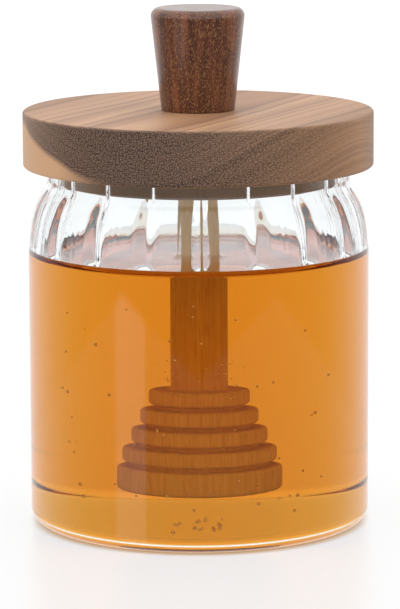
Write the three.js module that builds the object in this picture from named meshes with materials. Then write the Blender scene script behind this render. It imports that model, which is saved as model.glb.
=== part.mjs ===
// A glass honey pot: a fluted glass jar of honey, shut by a turned wooden lid with a knob on top and
// a honey dipper fixed underneath. Millimetres, +Z up, the origin at the centre of the base.
import * as THREE from "three";

// Driving dimensions
const JAR_RADIUS = 47.4;
const JAR_HEIGHT = 100;
const WALL = 2.7;
const PUSH_UP = 2.4; // height of the hollow under the base
const PUSH_UP_RADIUS = 40;
const FLOOR = 3.4; // height of the jar's floor inside
const FLOOR_ROUND = 4; // inner corner between floor and wall
const FOOT_ROUND = [4.4, 3.8]; // outer corner between base and wall, across and up
const FOOT_RING = 1.5; // width of the flat ring that the jar stands on
const NECK_RADIUS = 42;
const RIM_ROUND = 0.8;

// Heights along the curve from wall to neck: its start, its two control points and its end
const SHOULDER = [74, 93, 92, 97];
const INNER_SHOULDER_DROP = 1; // how much lower that curve lies on the inside

// Ridges on the inside, which run from just above the honey over the shoulder and up the neck
const RIDGE_COUNT = 18;
const RIDGE_TURN = THREE.MathUtils.degToRad(1); // the front ridge stands this far right of centre
const RIDGE_FADE = [75.8, 78.3]; // heights between which the ridges grow out of the plain wall
const RIDGE_NARROWS = [89, 96]; // heights between which they draw in to their size on the neck
const RIDGE_HALF_WIDTH = [2.7, 1.6]; // on the shoulder and on the neck
const RIDGE_HEIGHT = [1.2, 1];

const HONEY_LEVEL = 74.5;
const HONEY_GAP = 0.3; // clearance that the honey keeps to the glass and to the dipper

const LID_RADIUS = 48.6;
const LID_THICKNESS = 15.3;
const LID_ROUND = 0.7;
const PLUG_RADIUS = 38;
const PLUG_DEPTH = 4.8;
const PLUG_CHAMFER = 0.5;

const KNOB_HEIGHT = 28.3;
const KNOB_FOOT_RADIUS = 10.2;
const KNOB_TOP_RADIUS = 13;
const KNOB_ROUND = 2.2;
const KNOB_FOOT_CHAMFER = 0.4;

const SHAFT_RADIUS = 5.3;
const HEAD_BOTTOM = 10.9;
const DISC_RADII = [15.3, 14.3, 12.6, 10.95, 9.35]; // from the lowest disc up, at each one's widest
const LOWEST_DISC = 6.9; // height of the lowest disc, thicker than the rest
const DISC = 4.35;
const GROOVE = 1.1;
const GROOVE_DEPTH = 2;
const DISC_EDGE = 0.6; // bevel along a disc's edges
const DISC_TAPER = 0.25; // how much narrower a disc's top is than its foot

// Facets round each turned shape. The jar has six to each ridge.
const JAR_SEGMENTS = RIDGE_COUNT * 6;
const HONEY_SEGMENTS = 60;
const LID_SEGMENTS = 72;
const KNOB_SEGMENTS = 40;
const DIPPER_SEGMENTS = 36;
const RIDGE_CROWDING = 0.5; // draws the jar's facets towards the crests of the ridges

// Points along an arc of an ellipse in a profile, from one angle to another in degrees
function arc(radius, height, across, up, from, to, steps) {
  return Array.from({ length: steps + 1 }, (_, step) => {
    const angle = THREE.MathUtils.degToRad(from + ((to - from) * step) / steps);
    return new THREE.Vector2(
      radius + across * Math.cos(angle),
      height + up * Math.sin(angle),
    );
  });
}

function point(radius, height) {
  return new THREE.Vector2(radius, height);
}

// A profile turned about the upright axis, listed from its lowest point outwards and up
function turned(profile, segments) {
  return new THREE.LatheGeometry(profile, segments).rotateX(Math.PI / 2);
}

function piece(name, geometry, material) {
  const mesh = new THREE.Mesh(geometry, material);
  mesh.name = name;
  return mesh;
}

// Jar
function shoulder(inset, drop, steps) {
  const wall = JAR_RADIUS - inset;
  const neck = NECK_RADIUS - inset;
  const heights = SHOULDER.map((height) => height - drop);
  const ends = [wall, wall, neck, neck].map((radius, index) => point(radius, heights[index]));
  return new THREE.CubicBezierCurve(...ends).getPoints(steps);
}

function jarOutside() {
  const ring = JAR_RADIUS - FOOT_ROUND[0];
  return [
    point(0, PUSH_UP),
    point(PUSH_UP_RADIUS, PUSH_UP),
    point(ring - FOOT_RING, 0),
    ...arc(ring, FOOT_ROUND[1], ...FOOT_ROUND, -90, 0, 4),
    ...shoulder(0, 0, 7),
    point(NECK_RADIUS, JAR_HEIGHT - RIM_ROUND),
    point(NECK_RADIUS - RIM_ROUND, JAR_HEIGHT),
  ];
}

function jarInside() {
  const neck = NECK_RADIUS - WALL;
  const wall = JAR_RADIUS - WALL;
  const curve = shoulder(WALL, INNER_SHOULDER_DROP, 14);
  const rows = curve.filter((_, step) => step % 2 === 0 || step === 1); // the ridges start near step 1
  return [
    point(neck + RIM_ROUND, JAR_HEIGHT),
    point(neck, JAR_HEIGHT - RIM_ROUND),
    ...rows.reverse(),
    ...arc(wall - FLOOR_ROUND, FLOOR + FLOOR_ROUND, FLOOR_ROUND, FLOOR_ROUND, 0, -90, 3),
    point(0, FLOOR),
  ];
}

// How far the inside stands in from its plain wall, at a height and at an angle from the nearest crest
function ridgeDepth(radius, height, angle) {
  const { smoothstep, lerp } = THREE.MathUtils;
  const narrowed = smoothstep(height, ...RIDGE_NARROWS);
  const halfWidth = lerp(...RIDGE_HALF_WIDTH, narrowed);
  const crest = Math.max(0, 1 - (radius * Math.abs(angle)) / halfWidth);
  return smoothstep(height, ...RIDGE_FADE) * lerp(...RIDGE_HEIGHT, narrowed) * crest;
}

function flutedJar() {
  const outside = jarOutside();
  const profile = [...outside, ...jarInside()];
  const geometry = turned(profile, JAR_SEGMENTS);
  const position = geometry.getAttribute("position");
  for (let vertex = 0; vertex < position.count; vertex++) {
    const row = vertex % profile.length;
    const column = Math.floor(vertex / profile.length);
    const phase = (2 * Math.PI * RIDGE_COUNT * column) / JAR_SEGMENTS;
    const fromCrest = (phase - RIDGE_CROWDING * Math.sin(phase)) / RIDGE_COUNT;
    const angle = fromCrest + RIDGE_TURN;
    const { x: radius, y: height } = profile[row];
    const pitch = (2 * Math.PI) / RIDGE_COUNT;
    const nearest = fromCrest - pitch * Math.round(fromCrest / pitch);
    const inset = row < outside.length ? 0 : ridgeDepth(radius, height, nearest);
    const reach = radius - inset;
    position.setXYZ(vertex, reach * Math.sin(angle), -reach * Math.cos(angle), height);
  }
  return geometry;
}

// Dipper
function dipperHead() {
  const outline = [];
  let foot = HEAD_BOTTOM;
  DISC_RADII.forEach((radius, disc) => {
    const top = foot + (disc === 0 ? LOWEST_DISC : DISC);
    outline.push(
      point(radius - DISC_EDGE, foot),
      point(radius, foot + DISC_EDGE),
      point(radius - DISC_TAPER, top - DISC_EDGE),
      point(radius - DISC_TAPER - DISC_EDGE, top),
    );
    if (disc + 1 < DISC_RADII.length) {
      const core = DISC_RADII[disc + 1] - GROOVE_DEPTH;
      outline.push(point(core, top), point(core, top + GROOVE));
    }
    foot = top + GROOVE;
  });
  return outline;
}

function dipperProfile() {
  const head = dipperHead();
  const headTop = head[head.length - 1].y;
  return [
    point(0, HEAD_BOTTOM),
    ...head,
    point(SHAFT_RADIUS, headTop),
    point(SHAFT_RADIUS, JAR_HEIGHT - PLUG_DEPTH),
    point(0, JAR_HEIGHT - PLUG_DEPTH),
  ];
}

// Honey, poured round the dipper: the pocket steps in from disc to disc and stays clear of their edges
function dipperPocket() {
  const pocket = [];
  let foot = HEAD_BOTTOM - HONEY_GAP;
  let top = HEAD_BOTTOM + LOWEST_DISC;
  for (const radius of DISC_RADII) {
    pocket.push(point(radius + HONEY_GAP, foot), point(radius + HONEY_GAP, top + HONEY_GAP));
    foot = top + HONEY_GAP;
    top += GROOVE + DISC;
  }
  return [
    point(0, HEAD_BOTTOM - HONEY_GAP),
    ...pocket,
    point(SHAFT_RADIUS + HONEY_GAP, foot),
    point(SHAFT_RADIUS + HONEY_GAP, HONEY_LEVEL),
  ];
}

function honeyProfile() {
  const wall = JAR_RADIUS - WALL - HONEY_GAP;
  const floor = FLOOR + HONEY_GAP;
  return [
    point(0, floor),
    ...arc(wall - FLOOR_ROUND, floor + FLOOR_ROUND, FLOOR_ROUND, FLOOR_ROUND, -90, 0, 3),
    point(wall, HONEY_LEVEL),
    ...dipperPocket().reverse(),
  ];
}

// Lid: a thick disc with a plug below that drops into the jar's mouth
function lidProfile() {
  const plugFoot = JAR_HEIGHT - PLUG_DEPTH;
  const top = JAR_HEIGHT + LID_THICKNESS;
  const edge = LID_RADIUS - LID_ROUND;
  return [
    point(0, plugFoot),
    point(PLUG_RADIUS - PLUG_CHAMFER, plugFoot),
    point(PLUG_RADIUS, plugFoot + PLUG_CHAMFER),
    point(PLUG_RADIUS, JAR_HEIGHT),
    ...arc(edge, JAR_HEIGHT + LID_ROUND, LID_ROUND, LID_ROUND, -90, 0, 2),
    ...arc(edge, top - LID_ROUND, LID_ROUND, LID_ROUND, 0, 90, 2),
    point(0, top),
  ];
}

// Knob: a cone that widens upwards, with a rounded top edge
function knobProfile() {
  const foot = JAR_HEIGHT + LID_THICKNESS;
  const top = foot + KNOB_HEIGHT;
  return [
    point(0, foot),
    point(KNOB_FOOT_RADIUS - KNOB_FOOT_CHAMFER, foot),
    point(KNOB_FOOT_RADIUS, foot + KNOB_FOOT_CHAMFER),
    ...arc(KNOB_TOP_RADIUS - KNOB_ROUND, top - KNOB_ROUND, KNOB_ROUND, KNOB_ROUND, -10, 90, 5),
    point(0, top),
  ];
}

const clearGlass = new THREE.MeshStandardMaterial({
  color: 0xeef2f2,
  roughness: 0.05,
  metalness: 0,
  transparent: true,
  opacity: 0.35,
});
const honeyAmber = new THREE.MeshStandardMaterial({
  color: 0xd97f1f,
  roughness: 0.1,
  metalness: 0,
});
const acacia = new THREE.MeshStandardMaterial({ color: 0x8a6648, roughness: 0.6, metalness: 0 });
const walnut = new THREE.MeshStandardMaterial({ color: 0x633e29, roughness: 0.5, metalness: 0 });
const beech = new THREE.MeshStandardMaterial({ color: 0xb08a64, roughness: 0.65, metalness: 0 });

const honeyPot = new THREE.Group();
honeyPot.add(
  piece("jar", flutedJar(), clearGlass),
  piece("honey", turned(honeyProfile(), HONEY_SEGMENTS), honeyAmber),
  piece("dipper", turned(dipperProfile(), DIPPER_SEGMENTS), beech),
  piece("lid", turned(lidProfile(), LID_SEGMENTS), acacia),
  piece("knob", turned(knobProfile(), KNOB_SEGMENTS), walnut),
);

export default honeyPot;
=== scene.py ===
# Looks of a glass honey pot: pressed glass, honey, and an oiled wooden lid with its knob and dipper.
# Profiles are in millimetres, as (radius, height) about the pot's upright axis; meshes are in metres.
import math

import bmesh
import bpy
import numpy as np
from mathutils import Matrix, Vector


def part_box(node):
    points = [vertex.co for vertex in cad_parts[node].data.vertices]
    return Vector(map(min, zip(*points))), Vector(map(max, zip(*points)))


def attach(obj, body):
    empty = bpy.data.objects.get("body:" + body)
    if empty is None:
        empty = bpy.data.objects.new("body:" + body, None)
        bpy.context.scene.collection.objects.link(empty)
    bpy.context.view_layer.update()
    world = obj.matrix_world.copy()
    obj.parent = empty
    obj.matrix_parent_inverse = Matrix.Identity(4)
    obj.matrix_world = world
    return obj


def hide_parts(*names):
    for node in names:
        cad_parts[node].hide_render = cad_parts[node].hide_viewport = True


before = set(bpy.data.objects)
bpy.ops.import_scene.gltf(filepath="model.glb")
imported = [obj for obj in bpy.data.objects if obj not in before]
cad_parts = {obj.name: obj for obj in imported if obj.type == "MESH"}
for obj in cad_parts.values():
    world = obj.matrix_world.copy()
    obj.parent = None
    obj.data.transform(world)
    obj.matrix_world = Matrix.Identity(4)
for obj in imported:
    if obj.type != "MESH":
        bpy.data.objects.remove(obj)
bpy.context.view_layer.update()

MM = 0.001


def turned_size(node):
    """Radius, foot and top of a turned CAD node, in millimetres."""
    low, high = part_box(node)
    return (high.x - low.x) / 2 / MM, low.z / MM, high.z / MM


# Sizes that the frame gives
JAR_RADIUS, JAR_FOOT, JAR_TOP = turned_size("jar")
LID_RADIUS, PLUG_FOOT, LID_TOP = turned_size("lid")
KNOB_RADIUS, KNOB_FOOT, KNOB_TOP = turned_size("knob")
HEAD_RADIUS, HEAD_FOOT, SHAFT_TOP = turned_size("dipper")
HONEY_LEVEL = turned_size("honey")[2]

# Glass
WALL = 2.7
PUSH_UP = 2.4  # height of the hollow under the base
PUSH_UP_RADIUS = 40.0
FLOOR = 3.4  # height of the floor inside
FLOOR_ROUND = 4.0
FOOT_ROUND = (4.4, 3.8)  # across and up
FOOT_RING = 1.5  # width of the flat ring that the jar stands on
NECK_RADIUS = 42.0
SHOULDER = (74.0, 93.0, 92.0, 97.0)  # heights of the shoulder's start, its two pulls and its end
INNER_SHOULDER_DROP = 1.0  # how much lower that curve lies on the inside
RIM_ROUND = 0.8
RIDGES = 18  # on the inside, over the shoulder and up the neck
RIDGE_TURN = math.radians(1.0)
RIDGE_FADE = (75.8, 78.3)  # heights between which the ridges grow out of the plain wall
RIDGE_NARROWS = (89.0, 96.0)  # heights between which they draw in to their width on the neck
RIDGE_HALF_WIDTH = (2.7, 1.6)  # on the shoulder and on the neck
RIDGE_HEIGHT = (1.2, 1.0)
RIDGE_TIP = 0.35  # rounding of a crest
RIDGE_FOOT = 0.25  # softness of the bend where a ridge meets the wall
RIPPLE_HEIGHT = 0.005
RIPPLES_ROUND = (94, 131, 172)

# Honey
HONEY_OVERLAP = 0.1  # how far it reaches into glass and wood, so that no air shows between them
WALL_CLIMB = 2.7  # how high its edge climbs the glass
WALL_CLIMB_REACH = 2.6  # how far in from the glass that climb fades
SHAFT_CLIMB = 0.8
SHAFT_CLIMB_REACH = 0.8
CONTACT = HONEY_LEVEL + WALL_CLIMB

# Lid and knob
LID_ROUND = 0.7
PLUG_RADIUS = 38.0
PLUG_ROUND = 0.5
KNOB_FOOT_RADIUS = 10.2
KNOB_FOOT_ROUND = 0.4
KNOB_ROUND = 2.2

# Dipper
SHAFT_RADIUS = 5.3
DISC_RADII = (HEAD_RADIUS, 14.3, 12.6, 10.95, 9.35)
LOWEST_DISC = 6.9
DISC = 4.35
GROOVE = 1.1
GROOVE_DEPTH = 2.0
DISC_ROUND = 1.0
SHAFT_FILLET = 0.8

# Facets round each turned mesh, and how close an extra row of points lies to a profile's corners
JAR_COLUMNS = 960
HONEY_COLUMNS = 240
WOOD_COLUMNS = 256
SUPPORT = 0.12


# Profiles
def arc(centre, radii, start, end, steps):
    """Points on an arc of an ellipse, between two angles in degrees."""
    angles = np.radians(np.linspace(start, end, steps + 1))
    return np.column_stack([
        centre[0] + radii[0] * np.cos(angles),
        centre[1] + radii[1] * np.sin(angles),
    ])


def swept(start, pulls, end, steps):
    """Points on a cubic curve that leaves start towards the first pull and reaches end from the second."""
    share = np.linspace(0, 1, steps + 1)[:, None]
    legs = [np.array(p, float) for p in (start, *pulls, end)]
    weights = [(1 - share) ** 3, 3 * share * (1 - share) ** 2, 3 * share**2 * (1 - share), share**3]
    return sum(weight * leg for weight, leg in zip(weights, legs))


def supported(profile):
    """The profile with an extra point close to each end of a long stretch, to keep its shading flat."""
    points = [profile[0]]
    for here, there in zip(profile[:-1], profile[1:]):
        length = np.linalg.norm(there - here)
        if length < 1e-6:
            continue
        if length > 8 * SUPPORT:
            step = (there - here) * SUPPORT / length
            points += [here + step, there - step]
        points.append(there)
    return np.array(points)


def set_in(profile, depth):
    """The profile moved to the right of its direction, which is into the wall or wood that it follows."""
    ahead = np.diff(profile, axis=0)
    ahead /= np.linalg.norm(ahead, axis=1)[:, None]
    right = np.column_stack([ahead[:, 1], -ahead[:, 0]])
    sides = np.vstack([right[:1], right[:-1] + right[1:], right[-1:]])
    sides /= np.linalg.norm(sides, axis=1)[:, None]
    return profile + depth * sides


def turned(name, profile, columns, inset=0.0):
    """A closed mesh turned from a profile whose ends lie on the axis. Angle 0 is the front, -Y."""
    angles = 2 * np.pi * np.arange(columns) / columns
    rows = profile[1:-1]
    radius = (rows[:, :1] - inset) * MM
    height = rows[:, 1:] * MM + np.zeros(columns)
    ring = np.stack([radius * np.sin(angles), -radius * np.cos(angles), height], axis=2)
    poles = np.array([[0, 0, profile[0, 1] * MM], [0, 0, profile[-1, 1] * MM]])
    vertices = np.vstack([ring.reshape(-1, 3), poles])
    here = np.arange(columns)
    after = (here + 1) % columns
    low_pole, high_pole = len(vertices) - 2, len(vertices) - 1
    last = (len(rows) - 1) * columns
    faces = [(low_pole, b, a) for a, b in zip(here.tolist(), after.tolist())]
    for row in range(len(rows) - 1):
        low = row * columns
        strip = np.column_stack([low + here, low + after, low + columns + after, low + columns + here])
        faces += strip.tolist()
    faces += [(last + a, last + b, high_pole) for a, b in zip(here.tolist(), after.tolist())]
    mesh = bpy.data.meshes.new(name)
    mesh.from_pydata(vertices.tolist(), [], faces)
    mesh.shade_smooth()
    piece = bpy.data.objects.new(name, mesh)
    bpy.context.scene.collection.objects.link(piece)
    return piece


def mark_faces(piece, name, profile, columns, is_marked):
    """Marks the faces of each stretch of profile with 1 where is_marked says so of its middle, else 0."""
    middles = (profile[:-1] + profile[1:]) / 2
    values = [1.0 if is_marked(radius, height) else 0.0 for radius, height in middles]
    marks = piece.data.attributes.new(name, "FLOAT", "FACE")
    marks.data.foreach_set("value", np.repeat(values, columns).astype(np.float32))


# Shapes of the pieces
def shoulder(inset, drop, steps):
    """The shoulder's curve from the wall up to the neck, set in and lowered by the given distances."""
    wall, neck = JAR_RADIUS - inset, NECK_RADIUS - inset
    start, first_pull, second_pull, end = [height - drop for height in SHOULDER]
    return swept((wall, start), [(wall, first_pull), (neck, second_pull)], (neck, end), steps)


def jar_outside():
    ring = JAR_RADIUS - FOOT_ROUND[0]
    ring_inner = ring - FOOT_RING
    halfway = (PUSH_UP_RADIUS + ring_inner) / 2
    pulls = [(halfway, PUSH_UP), (halfway, JAR_FOOT)]
    return np.vstack([
        [(0, PUSH_UP)],
        swept((PUSH_UP_RADIUS, PUSH_UP), pulls, (ring_inner, JAR_FOOT), 12),
        arc((ring, JAR_FOOT + FOOT_ROUND[1]), FOOT_ROUND, -90, 0, 16),
        shoulder(0, 0, 60),
        arc((NECK_RADIUS - RIM_ROUND, JAR_TOP - RIM_ROUND), (RIM_ROUND, RIM_ROUND), 0, 90, 5),
    ])


def jar_dry_inside():
    """The inside from the rim down to where the honey's edge touches the glass."""
    neck = NECK_RADIUS - WALL
    curve = shoulder(WALL, INNER_SHOULDER_DROP, 60)
    edge = (np.interp(CONTACT, curve[:, 1], curve[:, 0]), CONTACT)
    return np.vstack([
        arc((neck + RIM_ROUND, JAR_TOP - RIM_ROUND), (RIM_ROUND, RIM_ROUND), 90, 180, 5),
        curve[curve[:, 1] > CONTACT][::-1],
        [edge],
    ])


def jar_wet_inside():
    """The inside from the middle of the floor up to where the honey's edge touches the glass."""
    wall = JAR_RADIUS - WALL
    curve = shoulder(WALL, INNER_SHOULDER_DROP, 60)
    return np.vstack([
        [(0, FLOOR)],
        arc((wall - FLOOR_ROUND, FLOOR + FLOOR_ROUND), (FLOOR_ROUND, FLOOR_ROUND), -90, 0, 10),
        curve[curve[:, 1] < CONTACT],
        jar_dry_inside()[-1:],
    ])


def eased(value, start, end):
    """A value run smoothly from 0 at start to 1 at end."""
    share = np.clip((value - start) / (end - start), 0, 1)
    return share * share * (3 - 2 * share)


def ridge_inset(profile, outer_rows):
    """How far each point of the jar stands in from its plain wall: on the ridges inside, and by ripples."""
    angles = 2 * np.pi * np.arange(JAR_COLUMNS) / JAR_COLUMNS
    pitch = 2 * np.pi / RIDGES
    from_crest = (angles - RIDGE_TURN + pitch / 2) % pitch - pitch / 2
    radius, height = profile[1:-1, :1], profile[1:-1, 1:]
    grown = eased(height, *RIDGE_FADE)
    narrowed = eased(height, *RIDGE_NARROWS)
    half_width = RIDGE_HALF_WIDTH[0] + narrowed * (RIDGE_HALF_WIDTH[1] - RIDGE_HALF_WIDTH[0])
    ridge_height = RIDGE_HEIGHT[0] + narrowed * (RIDGE_HEIGHT[1] - RIDGE_HEIGHT[0])
    rounded = np.sqrt((radius * from_crest) ** 2 + RIDGE_TIP**2) - RIDGE_TIP
    slope = 1 - rounded / half_width
    crest = (slope + np.sqrt(slope**2 + RIDGE_FOOT**2)) / 2
    ripple = sum(np.sin(count * angles + count) for count in RIPPLES_ROUND)
    inset = grown * (ridge_height * crest + RIPPLE_HEIGHT * ripple)
    inset[:outer_rows - 1] = 0
    return inset


def make_jar():
    outside = supported(jar_outside())
    inside = supported(np.vstack([jar_dry_inside(), jar_wet_inside()[::-1][1:]]))
    profile = np.vstack([outside, inside])
    piece = turned("jar_glass", profile, JAR_COLUMNS, ridge_inset(profile, len(outside)))
    inner_rows = {tuple(middle) for middle in (inside[:-1] + inside[1:]) / 2}
    mark_faces(piece, "wetted", profile, JAR_COLUMNS, lambda *at: at in inner_rows and at[1] < CONTACT)
    mark_faces(piece, "dry_inside", profile, JAR_COLUMNS, lambda *at: at in inner_rows and at[1] > CONTACT)
    return piece


def dipper_discs():
    outline = []
    foot = HEAD_FOOT
    for disc, radius in enumerate(DISC_RADII):
        top = foot + (LOWEST_DISC if disc == 0 else DISC)
        edge = radius - DISC_ROUND
        outline.append(arc((edge, foot + DISC_ROUND), (DISC_ROUND, DISC_ROUND), -90, 0, 6))
        outline.append(arc((edge, top - DISC_ROUND), (DISC_ROUND, DISC_ROUND), 0, 90, 6))
        if disc + 1 < len(DISC_RADII):
            core = DISC_RADII[disc + 1] - GROOVE_DEPTH
            groove = (core + GROOVE / 2, top + GROOVE / 2)
            outline.append(arc(groove, (GROOVE / 2, GROOVE / 2), 270, 90, 6))
        foot = top + GROOVE
    return np.vstack(outline)


def dipper_profile():
    discs = dipper_discs()
    head_top = discs[-1, 1]
    fillet_centre = (SHAFT_RADIUS + SHAFT_FILLET, head_top + SHAFT_FILLET)
    fillet = arc(fillet_centre, (SHAFT_FILLET, SHAFT_FILLET), 270, 180, 4)
    shaft = [(SHAFT_RADIUS, HONEY_LEVEL + SHAFT_CLIMB), (SHAFT_RADIUS, SHAFT_TOP), (0, SHAFT_TOP)]
    return np.vstack([[(0, HEAD_FOOT)], discs, fillet, shaft])


def honey_top():
    """The honey's surface, which climbs a little at the glass and at the dipper's shaft."""
    wall = jar_wet_inside()[-1, 0]
    radius = np.concatenate([
        wall - np.geomspace(0.05, 8, 14),
        SHAFT_RADIUS + np.geomspace(5, 0.05, 12),
    ])
    height = HONEY_LEVEL + WALL_CLIMB * np.exp(-(wall - radius) / WALL_CLIMB_REACH)
    height += SHAFT_CLIMB * np.exp(-(radius - SHAFT_RADIUS) / SHAFT_CLIMB_REACH)
    return np.column_stack([radius, height])


def make_honey():
    glass_side = set_in(jar_wet_inside(), HONEY_OVERLAP)
    wood_side = set_in(dipper_profile()[-3::-1], HONEY_OVERLAP)
    wood_side[-1, 0] = 0
    profile = supported(np.vstack([glass_side, honey_top(), wood_side]))
    piece = turned("honey_fill", profile, HONEY_COLUMNS)
    middles = (profile[:-1] + profile[1:]) / 2
    glass_rows = {tuple(middle) for middle in middles[:len(supported(glass_side)) - 1]}
    mark_faces(piece, "wetted", profile, HONEY_COLUMNS, lambda *at: at in glass_rows)
    add_bubbles(piece.data)
    return piece


def bubble_places():
    """Centre and radius of each air bubble: near the floor, through the honey, and round the shaft."""
    draw = np.random.default_rng(5)
    groups = [
        # count, bearing from the front in degrees, distance from the axis, height, bubble radius
        (18, (-10, 12), (34, 42), (5.2, 9), (0.3, 0.55)),
        (12, (-50, 50), (36, 43), (8, 20), (0.3, 0.55)),
        (40, (-62, 62), (34, 43.5), (14, 70), (0.22, 0.5)),
        (24, (-75, 75), (6.2, 9), (41, 48), (0.14, 0.26)),
        (20, (-90, 90), (6.4, 13), (HONEY_LEVEL - 0.7, HONEY_LEVEL - 0.4), (0.2, 0.36)),
    ]
    for count, bearing, distance, height, size in groups:
        for _ in range(count):
            angle = math.radians(draw.uniform(*bearing))
            reach = draw.uniform(*distance)
            place = (reach * math.sin(angle), -reach * math.cos(angle), draw.uniform(*height))
            yield place, draw.uniform(*size)


def add_bubbles(mesh):
    """Adds bubbles to the honey as hollows, whose faces point into the air that they hold."""
    shell = bmesh.new()
    shell.from_mesh(mesh)
    for place, radius in bubble_places():
        at = Matrix.Translation([MM * along for along in place])
        ball = bmesh.ops.create_icosphere(shell, subdivisions=3, radius=radius * MM, matrix=at)
        faces = list({face for vertex in ball["verts"] for face in vertex.link_faces})
        bmesh.ops.reverse_faces(shell, faces=faces)
        for face in faces:
            face.smooth = True
    shell.to_mesh(mesh)
    shell.free()


def make_dipper():
    return turned("dipper_turned", supported(dipper_profile()), WOOD_COLUMNS)


def make_lid():
    edge = LID_RADIUS - LID_ROUND
    profile = np.vstack([
        [(0, PLUG_FOOT)],
        arc((PLUG_RADIUS - PLUG_ROUND, PLUG_FOOT + PLUG_ROUND), (PLUG_ROUND, PLUG_ROUND), -90, 0, 5),
        [(PLUG_RADIUS, JAR_TOP)],
        arc((edge, JAR_TOP + LID_ROUND), (LID_ROUND, LID_ROUND), -90, 0, 6),
        arc((edge, LID_TOP - LID_ROUND), (LID_ROUND, LID_ROUND), 0, 90, 6),
        [(0, LID_TOP)],
    ])
    return turned("lid_turned", supported(profile), WOOD_COLUMNS)


def make_knob():
    foot = KNOB_FOOT_RADIUS - KNOB_FOOT_ROUND
    profile = np.vstack([
        [(0, KNOB_FOOT)],
        arc((foot, KNOB_FOOT + KNOB_FOOT_ROUND), (KNOB_FOOT_ROUND, KNOB_FOOT_ROUND), -90, -5, 4),
        arc((KNOB_RADIUS - KNOB_ROUND, KNOB_TOP - KNOB_ROUND), (KNOB_ROUND, KNOB_ROUND), -6, 90, 12),
        [(0, KNOB_TOP)],
    ])
    return turned("knob_turned", supported(profile), WOOD_COLUMNS)


# Materials
PORE_SPACING = 0.52  # of the lid's pores, drawn coarser than real ones so that they show
MIX_A, MIX_B, MIX_RESULT = 6, 7, 2  # sockets of a Mix node that mixes colours


def linear(hex_colour):
    """An sRGB hex value as the linear colour that a shader takes."""
    parts = [int(hex_colour[i:i + 2], 16) / 255 for i in (1, 3, 5)]
    return (*[c / 12.92 if c <= 0.04045 else ((c + 0.055) / 1.055) ** 2.4 for c in parts], 1.0)


def node(tree, kind, inputs=None, stops=None, **settings):
    """Adds one node. In inputs a socket is linked and any other value is set; stops fill a colour ramp."""
    made = tree.nodes.new(kind)
    for name, value in settings.items():
        setattr(made, name, value)
    for key, value in (inputs or {}).items():
        if isinstance(value, bpy.types.NodeSocket):
            tree.links.new(value, made.inputs[key])
        else:
            made.inputs[key].default_value = value
    if stops:
        ramp = made.color_ramp.elements
        while len(ramp) < len(stops):
            ramp.new(0.5)
        for element, (place, colour) in zip(ramp, stops):
            element.position = place
            element.color = linear(colour)
    return made


def new_material(name):
    """An empty node material with its output."""
    material = bpy.data.materials.new(name)
    material.use_nodes = True
    tree = material.node_tree
    tree.nodes.clear()
    return material, tree, tree.nodes.new("ShaderNodeOutputMaterial")


def index_matched(tree, index):
    """The refractive index of a clear piece, taken down to nearly 1 where honey lies against glass: the two
    bend light alike, so that face doesn't show."""
    wetted = node(tree, "ShaderNodeAttribute", attribute_name="wetted")
    return node(tree, "ShaderNodeMapRange", {
        "Value": wetted.outputs["Fac"], "To Min": index, "To Max": 1.004,
    }).outputs["Result"]


def pressed_glass():
    """Soda-lime glass, pressed in a mould and fire-polished: clear, with a faint slow wave in its skin."""
    material, tree, out = new_material("pressed_soda_glass")
    dry_inside = node(tree, "ShaderNodeAttribute", attribute_name="dry_inside").outputs["Fac"]
    shader = node(tree, "ShaderNodeBsdfPrincipled", {
        "Base Color": linear("#f7fafb"), "Roughness": 0.0, "Transmission Weight": 1.0,
        "IOR": index_matched(tree, 1.5),
        "Specular Tint": mixed(tree, dry_inside, linear("#ffffff"), linear("#707070")),
    })
    tree.links.new(shader.outputs["BSDF"], out.inputs["Surface"])
    return material


def runny_honey():
    """Clear blossom honey, filtered and poured: amber where light crosses the whole jar, yellow where it is
    thin."""
    material, tree, out = new_material("clear_runny_honey")
    shader = node(tree, "ShaderNodeBsdfPrincipled", {
        "Base Color": linear("#ffffff"), "Roughness": 0.0, "Transmission Weight": 1.0,
        "IOR": index_matched(tree, 1.49),
    })
    depth = node(tree, "ShaderNodeVolumeAbsorption", {"Color": linear("#f9d738"), "Density": 50.0})
    tree.links.new(shader.outputs["BSDF"], out.inputs["Surface"])
    tree.links.new(depth.outputs["Volume"], out.inputs["Volume"])
    return material


def grain_frame(tree, turn=0.0, pith=(0, 0, 0)):
    """Places in the wood, in millimetres from the pith. After the turn, Y runs along the grain."""
    place = node(tree, "ShaderNodeTexCoord").outputs["Object"]
    return node(tree, "ShaderNodeMapping", {
        "Vector": place, "Scale": (1 / MM,) * 3, "Rotation": (0, 0, turn), "Location": [-p for p in pith],
    }).outputs["Vector"]


def fibres(tree, frame_vector, cell, **settings):
    """Noise whose cells have the given size in millimetres along each axis of the wood."""
    scaled = node(tree, "ShaderNodeVectorMath", {
        0: frame_vector, 1: [1 / size for size in cell],
    }, operation="MULTIPLY").outputs["Vector"]
    return node(tree, "ShaderNodeTexNoise", {"Vector": scaled, "Scale": 1.0, **settings}).outputs["Fac"]


def mixed(tree, factor, first, second, blend="MIX"):
    """Two colours mixed by a factor."""
    return node(tree, "ShaderNodeMix", {
        "Factor": factor, MIX_A: first, MIX_B: second,
    }, data_type="RGBA", blend_type=blend).outputs[MIX_RESULT]


def ramped(tree, value, low, high):
    """A value run smoothly from 0 at low to 1 at high."""
    return node(tree, "ShaderNodeMapRange", {
        "Value": value, "From Min": low, "From Max": high,
    }, interpolation_type="SMOOTHSTEP").outputs["Result"]


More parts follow.
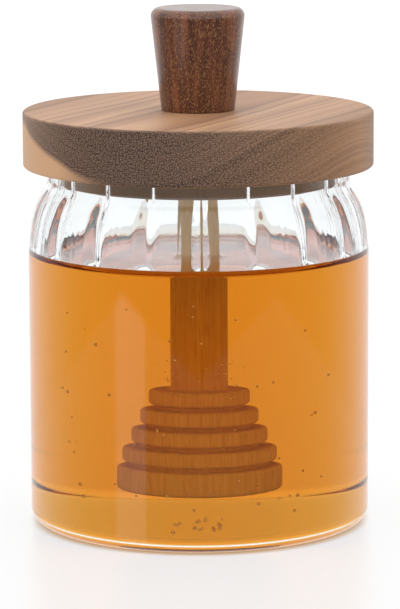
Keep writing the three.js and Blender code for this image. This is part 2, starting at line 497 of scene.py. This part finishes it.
def oiled_acacia():
    """Acacia, turned, sanded and oiled: purplish-brown heartwood and a pale sapwood edge, with pores that
    show as light dots on the dark end grain and as fine lines on the lighter face."""
    material, tree, out = new_material("oiled_acacia")
    turn = math.radians(25)
    pith = (-0.5, 0, 164)
    ring_spacing = 2.0
    late_wood_spacing = 0.8
    sapwood_ring = (65.0, 67.0)  # distances from the pith over which the heartwood gives way
    sapwood_reach = (0, -24)  # across the grain, towards the left of the lid
    sapwood_top = LID_TOP - pith[2]
    plug_top = JAR_TOP - pith[2]
    wood = grain_frame(tree, turn, pith)
    across = node(tree, "ShaderNodeVectorMath", {
        0: wood, 1: (1, 0, 1),
    }, operation="MULTIPLY").outputs["Vector"]
    radius = node(tree, "ShaderNodeVectorMath", {0: across}, operation="LENGTH").outputs["Value"]
    drift = fibres(tree, wood, (30, 160, 30), Detail=2.0)
    ring = node(tree, "ShaderNodeMath", {0: drift, 1: 6.0, 2: radius}, operation="MULTIPLY_ADD").outputs[0]
    bands = node(tree, "ShaderNodeTexNoise", {
        "W": ring, "Scale": 1 / ring_spacing, "Detail": 4.0, "Roughness": 0.6,
    }, noise_dimensions="1D").outputs["Fac"]
    heart = node(tree, "ShaderNodeValToRGB", {"Fac": bands},
                 stops=[(0.3, "#9a7050"), (0.5, "#ab8160"), (0.7, "#b68d69")]).outputs["Color"]
    outer = node(tree, "ShaderNodeValToRGB", {"Fac": bands},
                 stops=[(0.3, "#825c3d"), (0.7, "#9e7552")]).outputs["Color"]
    outside = ramped(tree, ring, *sapwood_ring)
    colour = mixed(tree, outside, heart, outer)
    late_wood = node(tree, "ShaderNodeTexNoise", {"W": ring, "Scale": 1 / late_wood_spacing, "Detail": 1.0},
                     noise_dimensions="1D").outputs["Fac"]
    lines = node(tree, "ShaderNodeMath", {0: ramped(tree, late_wood, 0.44, 0.34), 1: 0.65},
                 operation="MULTIPLY").outputs[0]
    colour = mixed(tree, lines, colour, linear("#7d5840"))
    normal = node(tree, "ShaderNodeNewGeometry").outputs["Normal"]
    facing = node(tree, "ShaderNodeVectorMath", {
        0: normal, 1: (math.sin(turn), math.cos(turn), 0),
    }, operation="DOT_PRODUCT").outputs["Value"]
    end_grain = node(tree, "ShaderNodeMath", {0: facing}, operation="ABSOLUTE").outputs[0]
    soaked = mixed(tree, end_grain, linear("#ffffff"), linear("#5e5250"))
    colour = mixed(tree, 1.0, colour, soaked, "MULTIPLY")
    axes = node(tree, "ShaderNodeSeparateXYZ", {"Vector": wood}).outputs
    sapwood = node(tree, "ShaderNodeMath", {0: ramped(tree, axes["X"], *sapwood_reach), 1: outside},
                   operation="MULTIPLY").outputs[0]
    sapwood = node(tree, "ShaderNodeMath", {
        0: sapwood, 1: ramped(tree, axes["Z"], sapwood_top - 0.5, sapwood_top - 4),
    }, operation="MULTIPLY").outputs[0]
    colour = mixed(tree, sapwood, colour, linear("#bb9069"))
    section = node(tree, "ShaderNodeCombineXYZ", {"X": axes["X"], "Y": axes["Z"]}).outputs["Vector"]
    pores = node(tree, "ShaderNodeTexVoronoi", {
        "Vector": section, "Scale": 1 / PORE_SPACING, "Randomness": 0.85,
    }, voronoi_dimensions="2D").outputs["Distance"]
    dots = ramped(tree, pores, 0.42, 0.16)
    pore_colour = mixed(tree, end_grain, linear("#8f6647"), linear("#b3937a"))
    colour = mixed(tree, node(tree, "ShaderNodeMath", {0: dots, 1: 0.34}, operation="MULTIPLY").outputs[0],
                   colour, pore_colour)
    # Below the rim the plug's wood is drawn paler brown than the lid above
    plug_paler = node(tree, "ShaderNodeMath", {
        0: ramped(tree, axes["Z"], plug_top + 0.3, plug_top - 0.3), 1: 0.6,
    }, operation="MULTIPLY").outputs[0]
    colour = mixed(tree, plug_paler, colour, linear("#a98463"))
    relief = node(tree, "ShaderNodeBump", {"Height": pores, "Strength": 0.25, "Distance": 0.2 * MM})
    shader = node(tree, "ShaderNodeBsdfPrincipled", {
        "Base Color": colour, "Roughness": 0.5, "IOR": 1.47, "Normal": relief.outputs["Normal"],
    })
    tree.links.new(shader.outputs["BSDF"], out.inputs["Surface"])
    return material


def upright_wood(name, streak_cell, streak_stops, pore_cell, pore_range, pore_colour, pore_share,
                 roughness, coat):
    """Wood whose grain runs up the pot's axis: streaks of several browns, with pores between them. Cells
    are in millimetres, and the pores are drawn coarser than real ones so that they show."""
    material, tree, out = new_material(name)
    wood = grain_frame(tree)
    streaks = fibres(tree, wood, streak_cell, Detail=4.0, Roughness=0.6)
    colour = node(tree, "ShaderNodeValToRGB", {"Fac": streaks}, stops=streak_stops).outputs["Color"]
    pores = fibres(tree, wood, pore_cell, Detail=1.0)
    dots = ramped(tree, pores, *pore_range)
    share = node(tree, "ShaderNodeMath", {0: dots, 1: pore_share}, operation="MULTIPLY").outputs[0]
    colour = mixed(tree, share, colour, linear(pore_colour))
    relief = node(tree, "ShaderNodeBump", {"Height": pores, "Strength": 0.25, "Distance": 0.15 * MM})
    shader = node(tree, "ShaderNodeBsdfPrincipled", {
        "Base Color": colour, "Roughness": roughness, "IOR": 1.47, "Normal": relief.outputs["Normal"],
        "Coat Weight": coat, "Coat Roughness": 0.15,
    })
    tree.links.new(shader.outputs["BSDF"], out.inputs["Surface"])
    return material


def oiled_walnut():
    """Walnut, turned and oiled: dark red-brown with upright streaks and a sheen, flecked by pale pores."""
    return upright_wood(
        "oiled_walnut", streak_cell=(2.6, 2.6, 60),
        streak_stops=[(0.3, "#34180b"), (0.5, "#4c2511"), (0.7, "#744126")],
        pore_cell=(0.3, 0.3, 0.7), pore_range=(0.52, 0.66), pore_colour="#a8784e", pore_share=0.45,
        roughness=0.28, coat=0.2)


def turned_beech():
    """Beech, turned and left bare: even pinkish tan with fine upright grain and short brown flecks."""
    return upright_wood(
        "turned_beech", streak_cell=(0.8, 0.8, 45),
        streak_stops=[(0.3, "#d4b07c"), (0.5, "#dcbc8a"), (0.7, "#e2c698")],
        pore_cell=(0.4, 0.4, 6), pore_range=(0.55, 0.75), pore_colour="#b98a58", pore_share=0.5,
        roughness=0.6, coat=0.0)


def white_acrylic():
    """White acrylic sheet, satin and lit from below: pale, with soft shadows and a faint reflection. Under
    the pot
    its glow is dimmer and amber: a painted shadow with painted amber light, as if the light had come
    through honey."""
    material, tree, out = new_material("white_acrylic")
    place = node(tree, "ShaderNodeTexCoord").outputs["Object"]
    from_pot = node(tree, "ShaderNodeVectorMath", {0: place}, operation="LENGTH").outputs["Value"]
    painted_shadow_edge = (0.0485, 0.0435)  # metres from the pot's axis, over which the painted shadow under the pot fades in
    open_glow = grey(0.7)
    # Under the pot the floor's glow is a painted shadow, tinted amber with painted light that stands in for
    # light through honey
    painted_shade_and_caustic = (0.45, 0.26, 0.1, 1)
    glow = mixed(tree, ramped(tree, from_pot, *painted_shadow_edge), open_glow, painted_shade_and_caustic)
    shader = node(tree, "ShaderNodeBsdfPrincipled", {
        "Base Color": linear("#656565"), "Roughness": 0.28, "Specular IOR Level": 0.08,
        "Emission Color": glow, "Emission Strength": 1.0,
    })
    tree.links.new(shader.outputs["BSDF"], out.inputs["Surface"])
    return material


# Stage
def grey(level):
    """A grey light of the given brightness."""
    return (level, level, level, 1)


def make_floor():
    half = 3.0
    below = -0.0002
    mesh = bpy.data.meshes.new("floor")
    corners = [(-half, -half, below), (half, -half, below), (half, half, below), (-half, half, below)]
    mesh.from_pydata(corners, [], [(0, 1, 2, 3)])
    floor = bpy.data.objects.new("floor", mesh)
    bpy.context.scene.collection.objects.link(floor)
    mesh.materials.append(white_acrylic())
    floor.visible_glossy = False


def make_light():
    """A white tent: brightest overhead, in front and low down behind. The floor isn't seen in reflections,
    so what lies below the horizon is given here: dim in front, with a table and a strip light at front
    left, and pale behind."""
    world = bpy.data.worlds.new("tent")
    bpy.context.scene.world = world
    world.use_nodes = True
    tree = world.node_tree
    tree.nodes.clear()
    direction = node(tree, "ShaderNodeTexCoord").outputs["Generated"]
    axes = node(tree, "ShaderNodeSeparateXYZ", {"Vector": direction}).outputs
    low = ramped(tree, axes["Z"], 0.04, -0.04)
    away = ramped(tree, axes["Y"], -0.15, 0.95)
    backward = node(tree, "ShaderNodeMath", {0: axes["Y"], 1: -1.0}, operation="MULTIPLY").outputs[0]
    bearing = node(tree, "ShaderNodeMath", {0: axes["X"], 1: backward}, operation="ARCTAN2").outputs[0]
    either_side = node(tree, "ShaderNodeMath", {0: bearing}, operation="ABSOLUTE").outputs[0]
    corner_bearing = 0.92  # radians from the front to the table's corners
    off_corner = node(tree, "ShaderNodeMath", {
        0: either_side, 1: -corner_bearing,
    }, operation="ADD").outputs[0]
    off_corner = node(tree, "ShaderNodeMath", {0: off_corner}, operation="ABSOLUTE").outputs[0]
    edge_slant = 0.025
    table_edge = node(tree, "ShaderNodeMath", {
        0: off_corner, 1: edge_slant, 2: axes["Z"],
    }, operation="MULTIPLY_ADD").outputs[0]
    table = ramped(tree, table_edge, -0.166, -0.171)
    strip_right = ramped(tree, bearing, math.radians(-35), math.radians(-38))
    strip_left = ramped(tree, bearing, math.radians(-61), math.radians(-55))
    strip = node(tree, "ShaderNodeMath", {0: strip_right, 1: strip_left}, operation="MULTIPLY").outputs[0]
    strip = node(tree, "ShaderNodeMath", {0: strip, 1: table}, operation="MULTIPLY").outputs[0]
    below = mixed(tree, table, grey(0.05), grey(0.3))
    below = mixed(tree, away, below, grey(1.1))
    below = mixed(tree, strip, below, grey(1.15))
    backdrop = mixed(tree, ramped(tree, axes["Z"], 0.22, 0.185), grey(1.0), grey(1.18))
    walls = mixed(tree, ramped(tree, axes["Y"], 0.2, -0.2), backdrop, grey(1.5))
    tent = mixed(tree, ramped(tree, axes["Z"], 0.5, 0.75), walls, grey(1.6))
    tent = mixed(tree, low, tent, below)
    light = node(tree, "ShaderNodeBackground", {"Color": tent, "Strength": 1.0})
    out = tree.nodes.new("ShaderNodeOutputWorld")
    tree.links.new(light.outputs["Background"], out.inputs["Surface"])


def make_camera():
    """The photograph's camera: a long lens, a little above the pot and looking down on it."""
    picture_height = 609
    focal_pixels = 3710
    pitch = math.radians(9.84)
    roll = math.radians(-0.25)
    place = (0.0003, -1.021, 0.2376)
    data = bpy.data.cameras.new("camera")
    data.sensor_width = 36.0
    data.lens = data.sensor_width * focal_pixels / picture_height
    camera = bpy.data.objects.new("camera", data)
    bpy.context.scene.collection.objects.link(camera)
    aim = Matrix.Rotation(math.pi / 2 - pitch, 4, "X") @ Matrix.Rotation(roll, 4, "Z")
    camera.matrix_world = Matrix.Translation(place) @ aim
    bpy.context.scene.camera = camera


def set_light_paths():
    scene = bpy.context.scene
    scene.view_settings.view_transform = "Standard"
    scene.cycles.max_bounces = 32
    scene.cycles.transmission_bounces = 32
    scene.cycles.glossy_bounces = 16
    scene.cycles.diffuse_bounces = 5


make_camera()
make_light()
make_floor()
set_light_paths()
pieces = [
    (make_jar, "jar", "glass", pressed_glass),
    (make_honey, "honey", "honey", runny_honey),
    (make_dipper, "dipper", "dipper_wood", turned_beech),
    (make_lid, "lid", "lid_wood", oiled_acacia),
    (make_knob, "knob", "knob_wood", oiled_walnut),
]
for make, cad_node, slot, finish in pieces:
    piece = make()
    piece.data.materials.append(finish())
    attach(piece, "root")
    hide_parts(cad_node)
